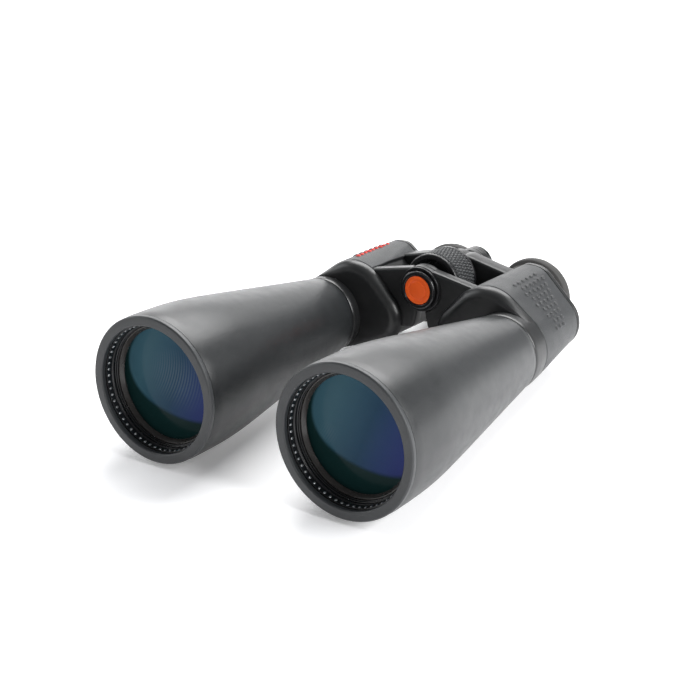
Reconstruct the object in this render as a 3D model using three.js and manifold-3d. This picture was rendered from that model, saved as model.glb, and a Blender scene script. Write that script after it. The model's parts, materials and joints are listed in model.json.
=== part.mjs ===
// Giant 15x70 centre-focus porro binoculars, lying on their barrels.
//
// Design frame: x across the two barrels, y along the optical axes from the objective
// rims (y = 0) to the eyecups, z up, with the objective axes in the plane z = 0.
// Every piece is drawn in that frame. The whole is then tipped so that the fat
// objective ends and the rims of the eyecups share one floor.
// The user's left side is at +x; the user's right side is its mirror image.
import * as THREE from 'three';
import { mergeVertices } from 'three/addons/utils/BufferGeometryUtils.js';
import Module from 'manifold-3d';

const wasm = await Module();
wasm.setup();

// ---------- driving dimensions, mm ----------
const GAP = 0.3; // clearance between pieces that touch
const RIM_R = 44; // outer radius of the objective rim
const OBJ_X = 66; // objective axis from the middle plane
const EYE_X = 31.3; // eyepiece axis from the middle plane
const EYE_Z = 3.2;
const HINGE_Z = 26.1; // hinge axis above the objective axes
const REST_TILT = THREE.MathUtils.degToRad(5.08); // rear end lower than the front

const BARREL_END = 165; // rear end of the objective barrel
const SHOULDER_Y = 172.5; // flat front face of the prism housing
const SHOULDER_EDGE = 5; // radius of the rounding round that face
const ARMOUR_Y = 179.2; // front edge of the rubber armour
const COVER_Y = 232.8; // joint between housing and rear cover
const COVER_END = 236.6;
const FRONT_WEB = [179.3, 187.3]; // front hinge arms, front and rear faces
const REAR_WEB = [218.5, 230.5];
const WHEEL = [192.2, 215.5]; // focus wheel, front and rear faces
const WHEEL_R = 19.2;
const BRIDGE_ARM = [242.5, 247.5]; // ocular arms, front and rear faces
const HUB_R = 11.5;
const CUP_END = 275; // rear rim of the eyecups
const CUP_R = 25.6;
const AXLE_R = 6;
const CAP_R = 13.5; // tripod cap
const SOCKET_R = 3.2; // 1/4 inch thread
const LENS_R = 36.2; // objective lens blank
const TUBE_R = 13.2; // ocular tube

const ARMOUR_T = 2.1; // rubber thickness
const WALL = 1.6; // housing wall

const FINE = 32; // facets round the barrels
const ROUND = 24; // round a middling turned piece
const SMALL = 16; // and round a small one

// The prism housing's outline is the tight band round four circles, given counter-clockwise.
// They drift from their front places to their rear ones, so the housing rises and narrows.
const SECTION = [
  { front: { x: OBJ_X, z: 0.6, r: 24 }, rear: { x: 65.4, z: 3.1, r: 17.9 } },
  { front: { x: 49.8, z: 10.8, r: 25.8 }, rear: { x: 50.7, z: 21.7, r: 15.4 } },
  { front: { x: 38.9, z: 23.7, r: 9.2 }, rear: { x: 47.6, z: 28.6, r: 8.6 } },
  { front: { x: 32.5, z: 3, r: 18.9 }, rear: { x: 32.5, z: 3, r: 19.5 } },
];
const ARMOUR_X = 37.3; // inboard edge of the rubber

// The light path steps sideways twice, at a right angle: objective axis, middle, eye axis.
const OBJ_AXIS = new THREE.Vector2(OBJ_X, 0);
const EYE_AXIS = new THREE.Vector2(EYE_X, EYE_Z);
const STEP = EYE_AXIS.clone().sub(OBJ_AXIS);
const TURN = new THREE.Vector2(STEP.y, -STEP.x);
const MID_AXIS = OBJ_AXIS.clone().addScaledVector(STEP, 0.5).addScaledVector(TURN, 0.5);
const PRISM_HALF = STEP.length() / Math.SQRT2; // half of a prism's long face
const PRISM_R = 11.2; // rounded ends and half width
const PRISM_DEPTH = 20.4; // long face to ground-off apex
const SHELF = [204, 206.4]; // plate between the prisms, front and rear faces

// ---------- colours ----------
function material(color, roughness, metalness = 0) {
  return new THREE.MeshStandardMaterial({ color, roughness, metalness });
}

const paint = material(0x2b2d2f, 0.42, 0.25);
const armourRubber = material(0x3a3d3f, 0.78);
const softRubber = material(0x1c1d1e, 0.85);
const blackMetal = material(0x141516, 0.5, 0.5);
const steel = material(0xb8bcc0, 0.3, 0.9);
const brass = material(0xb08d4a, 0.35, 0.9);
const plastic = material(0x18191a, 0.45);
const accent = material(0xe04a10, 0.5);
const coatedGlass = material(0x2f6f73, 0.05);
const clearGlass = material(0xbfd3d8, 0.05);

// ---------- geometry helpers ----------
function welded(geometry) {
  const bare = geometry.clone();
  bare.deleteAttribute('normal');
  bare.deleteAttribute('uv');
  const merged = mergeVertices(bare, 1e-4);
  const index = merged.index.array;
  const kept = [];
  for (let i = 0; i < index.length; i += 3) {
    const [a, b, c] = [index[i], index[i + 1], index[i + 2]];
    if (a !== b && b !== c && c !== a) kept.push(a, b, c);
  }
  merged.setIndex(kept);
  return merged;
}

function signedVolume(geometry) {
  const p = geometry.attributes.position;
  const index = geometry.index.array;
  const [a, b, c] = [new THREE.Vector3(), new THREE.Vector3(), new THREE.Vector3()];
  let sum = 0;
  for (let i = 0; i < index.length; i += 3) {
    a.fromBufferAttribute(p, index[i]);
    b.fromBufferAttribute(p, index[i + 1]);
    c.fromBufferAttribute(p, index[i + 2]);
    sum += a.dot(b.cross(c));
  }
  return sum;
}

function facingOut(geometry) {
  const out = welded(geometry);
  if (signedVolume(out) < 0) out.setIndex(Array.from(out.index.array).reverse());
  return out;
}

function solid(geometry) {
  const out = facingOut(geometry);
  const vertProperties = Float32Array.from(out.attributes.position.array);
  const triVerts = Uint32Array.from(out.index.array);
  return new wasm.Manifold(new wasm.Mesh({ numProp: 3, vertProperties, triVerts }));
}

function geometryOf(manifold) {
  const mesh = manifold.getMesh();
  const geometry = new THREE.BufferGeometry();
  geometry.setAttribute('position', new THREE.BufferAttribute(Float32Array.from(mesh.vertProperties), 3));
  geometry.setIndex(Array.from(mesh.triVerts));
  return geometry;
}

// Turned round the y axis from radius, y pairs; a profile off the axis closes on itself.
function turned(profile, facets = ROUND) {
  const points = profile.map(([r, y]) => new THREE.Vector2(r, y));
  const onAxis = profile[0][0] === 0 && profile[profile.length - 1][0] === 0;
  if (!onAxis) points.push(points[0].clone());
  return new THREE.LatheGeometry(points, facets);
}

const disc = (r, y0, y1, facets = SMALL) => turned([[0, y0], [r, y0], [r, y1], [0, y1]], facets);
const ring = (r0, r1, y0, y1, facets = ROUND) => turned([[r0, y0], [r1, y0], [r1, y1], [r0, y1]], facets);
const at = (geometry, x, z, y = 0) => geometry.translate(x, y, z);

// Points of the tight band round a set of circles, grown by offset, one to each direction.
const BAND_STEP = 15;

function bandPoints(circles, offset = 0) {
  const points = [];
  for (let degrees = 0; degrees < 360; degrees += BAND_STEP) {
    const angle = THREE.MathUtils.degToRad(degrees);
    const [nx, nz] = [Math.cos(angle), Math.sin(angle)];
    const reach = (c) => c.x * nx + c.z * nz + c.r;
    const far = circles.reduce((best, c) => (reach(c) > reach(best) ? c : best));
    points.push(new THREE.Vector2(far.x + (far.r + offset) * nx, far.z + (far.r + offset) * nz));
  }
  return points;
}

const band = (circles, offset = 0) => new THREE.Shape(bandPoints(circles, offset));

function sectionAt(y) {
  const t = THREE.MathUtils.clamp((y - ARMOUR_Y) / (COVER_Y - ARMOUR_Y), 0, 1);
  const mix = (circle, key) => THREE.MathUtils.lerp(circle.front[key], circle.rear[key], t);
  return SECTION.map((circle) => ({ x: mix(circle, 'x'), z: mix(circle, 'z'), r: mix(circle, 'r') }));
}

// Body skinned over the housing's outline at each station: y and how far it is grown.
function housingLoft(stations) {
  const rings = stations.map(([y, offset]) => bandPoints(sectionAt(y), offset));
  const sides = rings[0].length;
  const positions = rings.flatMap((points, k) => points.flatMap((q) => [q.x, stations[k][0], q.y]));
  const index = [];
  for (let k = 0; k + 1 < rings.length; k += 1) {
    for (let i = 0; i < sides; i += 1) {
      const [a, b] = [k * sides + i, k * sides + ((i + 1) % sides)];
      index.push(a, a + sides, b, b, a + sides, b + sides);
    }
  }
  const last = (rings.length - 1) * sides;
  for (let i = 1; i + 1 < sides; i += 1) {
    index.push(0, i, i + 1);
    index.push(last, last + i + 1, last + i);
  }
  const geometry = new THREE.BufferGeometry();
  geometry.setAttribute('position', new THREE.BufferAttribute(Float32Array.from(positions), 3));
  geometry.setIndex(index);
  return geometry;
}

// Plate of an x-z outline between two y planes, its edges rounded by bevel.
function plate(shape, y0, y1, bevel = 0, bevelSegments = 2) {
  const options = { depth: y1 - y0 - 2 * bevel, steps: 1, curveSegments: 8, bevelEnabled: bevel > 0 };
  Object.assign(options, { bevelThickness: bevel, bevelSize: bevel, bevelOffset: -bevel, bevelSegments });
  return new THREE.ExtrudeGeometry(shape, options).rotateX(Math.PI / 2).translate(0, y1 - bevel, 0);
}

function mirrored(geometry) {
  const copy = geometry.clone().scale(-1, 1, 1);
  return facingOut(copy);
}

// ---------- assembly ----------
const optical = new THREE.Group(); // the design frame
optical.rotation.x = -REST_TILT;
const root = new THREE.Group();
root.add(optical);

function add(name, geometry, finish) {
  const mesh = new THREE.Mesh(facingOut(geometry), finish);
  mesh.name = name;
  optical.add(mesh);
}

// A piece drawn at +x for the user's left, and its mirror image for the right.
function addPair(name, geometry, finish) {
  add(`left_${name}`, geometry, finish);
  add(`right_${name}`, mirrored(geometry), finish);
}

// ---------- objective barrel ----------
// Straight at the front, then a soft bend into an even taper.
function barrelRadius(y) {
  const [taper, bendAt, softness] = [0.153, 37.6, 9];
  return RIM_R + GAP - taper * softness * Math.log(1 + Math.exp((y - bendAt) / softness));
}

function barrel() {
  const [front, wall, neckR] = [3.5, 2.2, 21.4];
  const stations = [front, 24, 38, 50, 64, 90, BARREL_END - GAP];
  const outside = stations.map((y) => [barrelRadius(y), y]);
  const neck = [[neckR, BARREL_END - GAP], [neckR, SHOULDER_Y + 2], [neckR - wall, SHOULDER_Y + 2]];
  const inside = [[barrelRadius(64) - 3, 64], [38.4, 36], [40.2, 33], [40.2, front]];
  return at(turned([...outside, ...neck, ...inside], FINE), OBJ_X, 0);
}

function objective() {
  const bezel = [[38, 0.8], [38.8, 0], [43.2, 0], [RIM_R, 0.8], [RIM_R, 3.2], [38, 3.2]];
  const lockRing = [[36.4, 7.5], [37.6, 3.6], [39.9, 3.6], [39.9, 9], [36.4, 9]];
  const cell = [[35, 9.3], [39.9, 9.3], [39.9, 31.5], [36.6, 31.5], [36.6, 14.5], [35, 14.5]];
  const spacer = [[33.6, 28.9], [36.2, 28.9], [36.2, 31.4], [33.6, 31.4]];
  addPair('objective_bezel', at(turned(bezel, FINE), OBJ_X, 0), blackMetal);
  addPair('objective_lock_ring', at(turned(lockRing), OBJ_X, 0), blackMetal);
  addPair('objective_cell', at(turned(cell), OBJ_X, 0), blackMetal);
  addPair('lens_spacer_ring', at(turned(spacer), OBJ_X, 0), softRubber);

  const bulge = (r, sag) => sag * (1 - (r / LENS_R) ** 2);
  const zones = [0, 20, LENS_R];
  const frontFace = zones.map((r) => [r, 16.9 - bulge(r, 2)]);
  const cemented = [...zones].reverse().map((r) => [r, 20.4 + bulge(r, 2.6)]);
  const flintFront = zones.map((r) => [r, 20.7 + bulge(r, 2.6)]);
  const flintRear = [...zones].reverse().map((r) => [r, 28.6 - bulge(r, 1)]);
  addPair('crown_lens', at(turned([...frontFace, ...cemented]), OBJ_X, 0), coatedGlass);
  addPair('flint_lens', at(turned([...flintFront, ...flintRear]), OBJ_X, 0), clearGlass);
}

// ---------- hinge arms ----------
// Two arms share one knuckle: each keeps its full thickness away from the hinge and
// only its own half of it, front or rear, round the pin.
function hingeArm(circles, lugR, boreR, [y0, y1], ownFront) {
  const middle = (y0 + y1) / 2;
  const own = ownFront ? [y0, middle - GAP / 2] : [middle + GAP / 2, y1];
  const other = ownFront ? [middle - GAP / 2, y1 + 1] : [y0 - 1, middle + GAP / 2];
  const arm = solid(plate(band(circles), y0, y1));
  const lug = solid(at(disc(lugR, ...own, ROUND), 0, HINGE_Z));
  const clearance = solid(at(disc(lugR + 0.4, ...other, ROUND), 0, HINGE_Z));
  const bore = solid(at(disc(boreR, y0 - 1, y1 + 1), 0, HINGE_Z));
  return arm.add(lug).subtract(clearance).subtract(bore);
}

const FRONT_ARM = [
  { x: 7.5, z: 30, r: 8.6 },
  { x: 9.5, z: 9.5, r: 5 },
  { x: 24, z: 8, r: 6 },
  { x: 38, z: 24, r: 8.6 },
];
const REAR_ARM = [
  { x: 8.5, z: 29.8, r: 9.8 },
  { x: 9.5, z: 9.5, r: 5 },
  { x: 24, z: 8, r: 6 },
  { x: 37, z: 23.8, r: 9.2 },
];
const FRONT_LUG_R = 14.6;
const REAR_LUG_R = 14.2;
const MOUNT_R = AXLE_R + GAP;

// ---------- prism housing ----------
// Stations that round a loft's front edge over from a smaller outline to the full one.
function roundedFront(y, radius) {
  return [0, 30, 60, 90].map((degrees) => {
    const angle = THREE.MathUtils.degToRad(degrees);
    return [y + radius * (1 - Math.cos(angle)), radius * (Math.sin(angle) - 1)];
  });
}

function prismHousing(ownFront) {
  const face = -ARMOUR_T - GAP; // the casting under the rubber
  const step = 0.01; // length of a sudden change of section
  const outside = roundedFront(SHOULDER_Y, SHOULDER_EDGE);
  outside.push([ARMOUR_Y, 0], [ARMOUR_Y + step, face], [COVER_Y - GAP, face]);
  const neckEnd = SHOULDER_Y + SHOULDER_EDGE;
  const collar = [[0, BARREL_END], [24.9, BARREL_END], [25.3, BARREL_END + 1], [24.2, neckEnd], [0, neckEnd]];
  const neckHole = solid(at(disc(21.7, BARREL_END - 1, neckEnd, FINE), OBJ_X, 0));
  const lip = 0.8; // the prism shelf rests against this
  const shelfSeat = SHELF[0] - GAP;
  const room = [[SHOULDER_Y + 3, face - WALL - lip], [shelfSeat, face - WALL - lip]];
  room.push([shelfSeat + step, face - WALL], [COVER_Y + 1, face - WALL]);
  const frontArm = hingeArm(FRONT_ARM, FRONT_LUG_R, MOUNT_R, FRONT_WEB, ownFront);
  const rearArm = hingeArm(REAR_ARM, REAR_LUG_R, MOUNT_R, REAR_WEB, ownFront);
  const shell = solid(housingLoft(outside)).add(solid(at(turned(collar, FINE), OBJ_X, 0)));
  const hollow = neckHole.add(solid(housingLoft(room)));
  return geometryOf(shell.add(frontArm).add(rearArm).subtract(hollow));
}

function armour() {
  const skin = solid(housingLoft([[ARMOUR_Y + GAP, 0], [COVER_Y - GAP, 0]]));
  const inner = solid(housingLoft([[ARMOUR_Y - 1, -ARMOUR_T], [COVER_Y + 1, -ARMOUR_T]]));
  const reach = 60; // block that takes everything inboard of the edge
  const inboard = solid(new THREE.BoxGeometry(reach, 80, 120).translate(ARMOUR_X - reach / 2, 200, 0));
  const armRoom = (circles, [y0, y1]) => solid(plate(band(circles, GAP), y0 - GAP, y1 + GAP));
  const wrap = skin.subtract(inner).subtract(inboard);
  return geometryOf(wrap.subtract(armRoom(FRONT_ARM, FRONT_WEB)).subtract(armRoom(REAR_ARM, REAR_WEB)));
}

const SCREW_SPOTS = [
  { name: 'upper', x: 52, z: 30 },
  { name: 'lower', x: 62, z: -6 },
];

function rearCover() {
  const edge = 1.2;
  const soft = edge * 0.3;
  const stations = [[COVER_Y, 0], [COVER_END - edge, 0], [COVER_END - soft, -soft], [COVER_END, -edge]];
  const tubeHole = solid(at(disc(TUBE_R + GAP, COVER_Y - 5, COVER_END + 5, ROUND), EYE_X, EYE_Z));
  let cover = solid(housingLoft(stations)).subtract(tubeHole);
  for (const spot of SCREW_SPOTS) {
    cover = cover.subtract(solid(at(disc(1.5, COVER_Y - 1, COVER_END + 1, 8), spot.x, spot.z)));
  }
  return geometryOf(cover);
}

function coverScrew(spot) {
  const [shankR, headR, headH] = [1.1, 2.6, 1.5];
  const seat = COVER_END + GAP;
  const profile = [[0, COVER_Y - 0.2], [shankR, COVER_Y - 0.2], [shankR, seat], [headR, seat]];
  profile.push([headR, seat + headH * 0.6], [headR * 0.7, seat + headH], [0, seat + headH]);
  return at(turned(profile, 8), spot.x, spot.z);
}

// ---------- prisms ----------
// A right-angle prism with rounded ends; its long face lies at y = face and its
// ground-off apex points along sense.
function prism(from, to, face, sense) {
  const ends = [{ x: from.x, z: from.y, r: PRISM_R }, { x: to.x, z: to.y, r: PRISM_R }];
  const [low, high] = [face, face + sense * PRISM_DEPTH].sort((a, b) => a - b);
  const blank = solid(plate(band(ends, 0, 15), low, high));
  const wedge = new THREE.Shape();
  wedge.moveTo(-PRISM_HALF - 0.5, 0);
  wedge.lineTo(PRISM_HALF + 0.5, 0);
  wedge.lineTo(0, PRISM_HALF + 0.5);
  const roof = new THREE.ExtrudeGeometry(wedge, { depth: 60, bevelEnabled: false }).translate(0, 0, -30);
  if (sense < 0) roof.rotateX(Math.PI);
  const turn = Math.atan2(to.y - from.y, to.x - from.x);
  roof.rotateY(-turn).translate((from.x + to.x) / 2, face, (from.y + to.y) / 2);
  return geometryOf(blank.intersect(solid(roof)));
}

// Spring strap over a prism's apex, down both of its flanks.
function prismClip(from, to, face, sense) {
  const [half, top, thick, width] = [PRISM_R + GAP, PRISM_DEPTH + GAP, 0.8, 7];
  const outline = new THREE.Shape();
  outline.moveTo(-half - thick, 2);
  outline.lineTo(-half, 2);
  outline.lineTo(-half, top);
  outline.lineTo(half, top);
  outline.lineTo(half, 2);
  outline.lineTo(half + thick, 2);
  outline.lineTo(half + thick, top + thick);
  outline.lineTo(-half - thick, top + thick);
  const strap = new THREE.ExtrudeGeometry(outline, { depth: width, bevelEnabled: false });
  strap.translate(0, 0, -width / 2);
  if (sense < 0) strap.rotateX(Math.PI);
  const turn = Math.atan2(to.y - from.y, to.x - from.x) + Math.PI / 2;
  return strap.rotateY(-turn).translate((from.x + to.x) / 2, face, (from.y + to.y) / 2);
}

function prismShelf() {
  let shelf = solid(plate(band(sectionAt(SHELF[0]), -ARMOUR_T - WALL - 2 * GAP - 0.3), ...SHELF));
  for (const axis of [OBJ_AXIS, MID_AXIS, EYE_AXIS]) {
    shelf = shelf.subtract(solid(at(disc(10.4, SHELF[0] - 1, SHELF[1] + 1), axis.x, axis.y)));
  }
  return geometryOf(shelf);
}

function prisms() {
  const frontFace = SHELF[0] - GAP;
  const rearFace = SHELF[1] + GAP;
  addPair('prism_shelf', prismShelf(), blackMetal);
  addPair('front_prism', prism(MID_AXIS, EYE_AXIS, frontFace, -1), clearGlass);
  addPair('rear_prism', prism(OBJ_AXIS, MID_AXIS, rearFace, 1), clearGlass);
  addPair('front_prism_clip', prismClip(MID_AXIS, EYE_AXIS, frontFace, -1), steel);
  addPair('rear_prism_clip', prismClip(OBJ_AXIS, MID_AXIS, rearFace, 1), steel);
}

// ---------- eyepieces ----------
const EYE_HUB = { x: EYE_X, z: EYE_Z, r: 19.5 };
const BRIDGE_CIRCLES = [{ x: 9, z: 21, r: 5 }, { x: 22, z: 10, r: 9 }, EYE_HUB];

function ocularArm(ownFront) {
  const arm = hingeArm(BRIDGE_CIRCLES, HUB_R, 8.5 + GAP, BRIDGE_ARM, ownFront);
  const tubeHole = solid(at(disc(TUBE_R + GAP, BRIDGE_ARM[0] - 1, BRIDGE_ARM[1] + 1, ROUND), EYE_X, EYE_Z));
  return geometryOf(arm.subtract(tubeHole));
}

function eyepieces() {
  const bore = TUBE_R + GAP;
  const tube = [[11.6, 222], [TUBE_R, 222], [TUBE_R, 258], [11.6, 258]];
  const seat = COVER_END + GAP;
  const bushing = [[bore, seat], [18.4, seat], [18.4, seat + 1], [17.6, seat + 1.8], [bore, seat + 1.8]];
  const cupStart = 255.3;
  const cupOutside = [[20.6, cupStart], [22.4, 257], [22.8, 266], [CUP_R - 0.8, 268.6]];
  cupOutside.push([CUP_R, 271], [CUP_R - 0.6, CUP_END]);
  const cupInside = [[21.6, CUP_END], [19.4, 266], [17.6, 261], [bore, 260], [bore, cupStart]];
  const lens = (r, y0, y1, sag) => {
    const front = [0, 0.5, 1].map((f) => [f * r, y0 - sag * (1 - f * f)]);
    const rear = [1, 0.5, 0].map((f) => [f * r, y1 + sag * (1 - f * f)]);
    return turned([...front, ...rear], SMALL);
  };
  addPair('ocular_tube', at(turned(tube), EYE_X, EYE_Z), blackMetal);
  addPair('tube_bushing', at(turned(bushing), EYE_X, EYE_Z), blackMetal);
  addPair('eyecup', at(turned([...cupOutside, ...cupInside]), EYE_X, EYE_Z), softRubber);
  addPair('field_lens', at(lens(11.3, 225, 227, 1), EYE_X, EYE_Z), clearGlass);
  addPair('eye_lens', at(lens(11.3, 252.5, 255, 1.2), EYE_X, EYE_Z), coatedGlass);

  const collarStart = BRIDGE_ARM[1] + GAP;
  const collar = (y1) => [[bore, collarStart], [21.5, collarStart], [21.5, y1 - 1], [20.6, y1], [bore, y1]];
  add('left_ocular_collar', at(turned(collar(255)), EYE_X, EYE_Z), plastic);
  add('dioptre_ring', mirrored(at(turned(collar(253.2)), EYE_X, EYE_Z)), plastic);
  add('left_ocular_arm', ocularArm(false), paint);
  add('right_ocular_arm', mirrored(ocularArm(true)), paint);
}

// ---------- hinge, tripod socket and focus drive ----------
function centre() {
  const [flangeR, flangeY, face] = [15.4, FRONT_WEB[0] - 1.8, FRONT_WEB[0] - GAP];
  const recess = 0.4; // the cap sits in it, clear of the flat ring outside
  const axleEnd = 242;
  const axle = [[4.6, flangeY + recess], [CAP_R + recess, flangeY + recess], [CAP_R + recess, flangeY]];
  axle.push([flangeR, flangeY], [flangeR, face], [AXLE_R, face], [AXLE_R, axleEnd]);
  axle.push([3.4, axleEnd], [3.4, 196], [4.6, 194]);
  const socketFace = flangeY + recess / 2;
  const socket = [[SOCKET_R, socketFace], [4.3, socketFace], [4.3, 192], [SOCKET_R, 192]];
  const capRear = flangeY - GAP;
  const capFace = capRear - 2.2;
  const cap = [[0, capFace + 0.9], [9.9, capFace + 0.9], [9.9, capFace], [CAP_R - 0.8, capFace]];
  cap.push([CAP_R, capFace + 0.8], [CAP_R, capRear], [SOCKET_R - GAP, capRear]);
  cap.push([SOCKET_R - GAP, 184], [0, 184]);
  const badge = disc(9.6, capFace + 0.1, capFace + 0.6);
  const central = (name, geometry, finish) => add(name, at(geometry, 0, HINGE_Z), finish);
  central('hinge_axle', turned(axle), blackMetal);
  central('tripod_socket', turned(socket, SMALL), brass);
  central('tripod_cap', turned(cap, FINE), plastic);
  central('tripod_cap_inlay', badge, accent);

  const spacer = ring(MOUNT_R, 9.5, FRONT_WEB[1] + GAP, WHEEL[0] - GAP, SMALL);
  const washer = ring(MOUNT_R, 10.5, WHEEL[1] + GAP, REAR_WEB[0] - GAP, SMALL);
  const [nutR, nutY, nutH] = [10.5, REAR_WEB[1] + GAP, 2.8];
  const nutEnd = nutY + nutH;
  const nutProfile = [[0, nutY], [nutR, nutY], [nutR, nutEnd - 0.6], [nutR - 1, nutEnd], [0, nutEnd]];
  const nutBore = solid(disc(MOUNT_R, nutY - 1, nutEnd + 1));
  const nut = geometryOf(solid(turned(nutProfile, 6)).subtract(nutBore));
  const rim = 2.6;
  const [w0, w1] = WHEEL;
  const grooveR = WHEEL_R - 2.7;
  const wheel = [[MOUNT_R, w0 + 0.4], [15, w0 + 0.4], [15.6, w0], [WHEEL_R - 0.6, w0], [WHEEL_R, w0 + 0.6]];
  wheel.push([WHEEL_R, w0 + rim], [grooveR, w0 + rim], [grooveR, w1 - rim], [WHEEL_R, w1 - rim]);
  wheel.push([WHEEL_R, w1 - 0.6], [WHEEL_R - 0.6, w1], [MOUNT_R, w1]);
  const grip = ring(grooveR + GAP, WHEEL_R - 0.2, w0 + rim + GAP, w1 - rim - GAP);
  central('wheel_spacer', spacer, blackMetal);
  central('thrust_washer', washer, brass);
  central('axle_nut', nut, blackMetal);
  central('focus_wheel', turned(wheel), blackMetal);
  central('focus_wheel_grip', grip, armourRubber);

  const [hubFront, boreEnd, pinR, pinEnd] = [238, 246, 8.5, 248.4];
  const [shoulder, capSeat, capEnd] = [BRIDGE_ARM[0] - GAP, BRIDGE_ARM[1] + GAP, 250.6];
  const hub = [[0, boreEnd], [MOUNT_R, boreEnd], [MOUNT_R, hubFront], [HUB_R, hubFront]];
  hub.push([HUB_R, shoulder], [pinR, shoulder], [pinR, pinEnd], [0, pinEnd]);
  const pocketR = pinR + GAP;
  const hubCap = [[0, pinEnd + GAP], [pocketR, pinEnd + GAP], [pocketR, capSeat], [HUB_R, capSeat]];
  hubCap.push([HUB_R, capEnd - 1.2], [HUB_R - 1.2, capEnd], [0, capEnd]);
  central('bridge_hub', turned(hub, SMALL), paint);
  central('bridge_cap', turned(hubCap, SMALL), plastic);
  central('focus_spindle', disc(3.1, 208, boreEnd - GAP), steel);
}

// ---------- build ----------
addPair('barrel', barrel(), paint);
objective();
add('left_prism_housing', prismHousing(false), paint);
add('right_prism_housing', mirrored(prismHousing(true)), paint);
addPair('armour', armour(), armourRubber);
addPair('rear_cover', rearCover(), paint);
for (const spot of SCREW_SPOTS) addPair(`cover_screw_${spot.name}`, coverScrew(spot), steel);
prisms();
eyepieces();
centre();

// The origin is at the middle of the footprint, on the floor.
const box = new THREE.Box3().setFromObject(root, true);
const middle = box.getCenter(new THREE.Vector3());
optical.position.set(-middle.x, -middle.y, -box.min.z);

export default root;
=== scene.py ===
import json
import math

import bmesh
import bpy
from mathutils import Matrix, Vector


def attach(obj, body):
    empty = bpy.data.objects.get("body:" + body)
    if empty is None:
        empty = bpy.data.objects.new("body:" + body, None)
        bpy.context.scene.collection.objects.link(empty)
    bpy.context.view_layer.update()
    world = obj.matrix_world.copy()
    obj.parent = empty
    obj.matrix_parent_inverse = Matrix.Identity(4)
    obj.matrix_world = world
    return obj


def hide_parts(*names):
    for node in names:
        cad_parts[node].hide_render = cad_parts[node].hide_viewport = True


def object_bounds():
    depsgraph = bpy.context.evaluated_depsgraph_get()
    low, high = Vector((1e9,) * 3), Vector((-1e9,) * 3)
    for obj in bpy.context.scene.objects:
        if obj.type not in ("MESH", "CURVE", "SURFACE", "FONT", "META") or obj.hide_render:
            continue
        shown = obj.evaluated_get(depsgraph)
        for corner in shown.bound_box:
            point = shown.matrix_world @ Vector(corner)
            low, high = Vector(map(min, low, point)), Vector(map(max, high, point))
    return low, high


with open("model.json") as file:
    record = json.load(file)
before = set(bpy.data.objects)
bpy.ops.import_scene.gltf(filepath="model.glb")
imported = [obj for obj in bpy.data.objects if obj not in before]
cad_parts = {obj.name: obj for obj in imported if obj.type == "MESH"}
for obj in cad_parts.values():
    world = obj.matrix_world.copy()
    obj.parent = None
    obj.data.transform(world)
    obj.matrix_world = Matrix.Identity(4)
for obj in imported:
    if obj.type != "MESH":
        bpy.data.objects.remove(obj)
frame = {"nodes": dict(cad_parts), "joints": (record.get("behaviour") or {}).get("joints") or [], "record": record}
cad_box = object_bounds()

MM = 0.001

# ---------- the optical frame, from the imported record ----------
# x across the barrels, y along the optical axes from the objective rims, z up from the
# plane of the objective axes; pieces are drawn in it in millimetres.
HINGE_Z = 26.1
PIVOT_Y = 200.0  # where along the hinge the record states the fold's pivot
fold = next(j for j in frame["joints"] if j["name"] == "left_fold")
AHEAD = Vector(fold["axis"]).normalized()
SIDE = Vector((1, 0, 0))
UP = SIDE.cross(AHEAD)
ORIGIN = Vector(fold["pos_m"]) - AHEAD * PIVOT_Y * MM - UP * HINGE_Z * MM
TO_ROW = Matrix((SIDE, AHEAD, UP)).transposed().to_4x4()
TO_ROW.translation = ORIGIN


def row(x, y, z):
    return TO_ROW @ Vector((x * MM, y * MM, z * MM))


# ---------- dimensions, mm ----------
OBJ_X = 66.0
EYE_X, EYE_Z = 31.3, 3.2
BARREL_END = 165.0
SHOULDER_Y = 172.5
ARMOUR_Y, COVER_Y, COVER_END = 179.2, 232.8, 236.6
ARMOUR_X, ARMOUR_T = 37.3, 2.1
FRONT_WEB, REAR_WEB = (179.3, 187.3), (218.5, 230.5)
WHEEL, WHEEL_R = (192.2, 215.5), 19.2
ARM = (242.5, 247.5)
GAP = 0.3
TUBE_BORE, TUBE_ROOM = 13.5, 14.2  # radius round an eyepiece tube where it is guided, and where it runs free
AXLE_BORE, HUB_BORE = 6.3, 8.8
FRONT_LUG, REAR_LUG, BRIDGE_LUG = 14.6, 14.2, 11.5
FLANGE_R, CAP_R = 14.2, 12.3
SHELL_INSET = 2.3  # the shell's skin below the outside of the armour
# Circles x, z, r that the housing's outline wraps, each at the front and at the rear.
SECTION = (
    ((OBJ_X, 0.6, 24.0), (65.4, 3.1, 17.9)),
    ((49.8, 10.8, 25.8), (50.7, 21.7, 15.4)),
    ((38.9, 23.7, 9.2), (47.6, 28.6, 8.6)),
    ((32.5, 3.0, 18.9), (32.5, 3.0, 19.5)),
)
SIDES = (("left", 1), ("right", -1))


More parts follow.
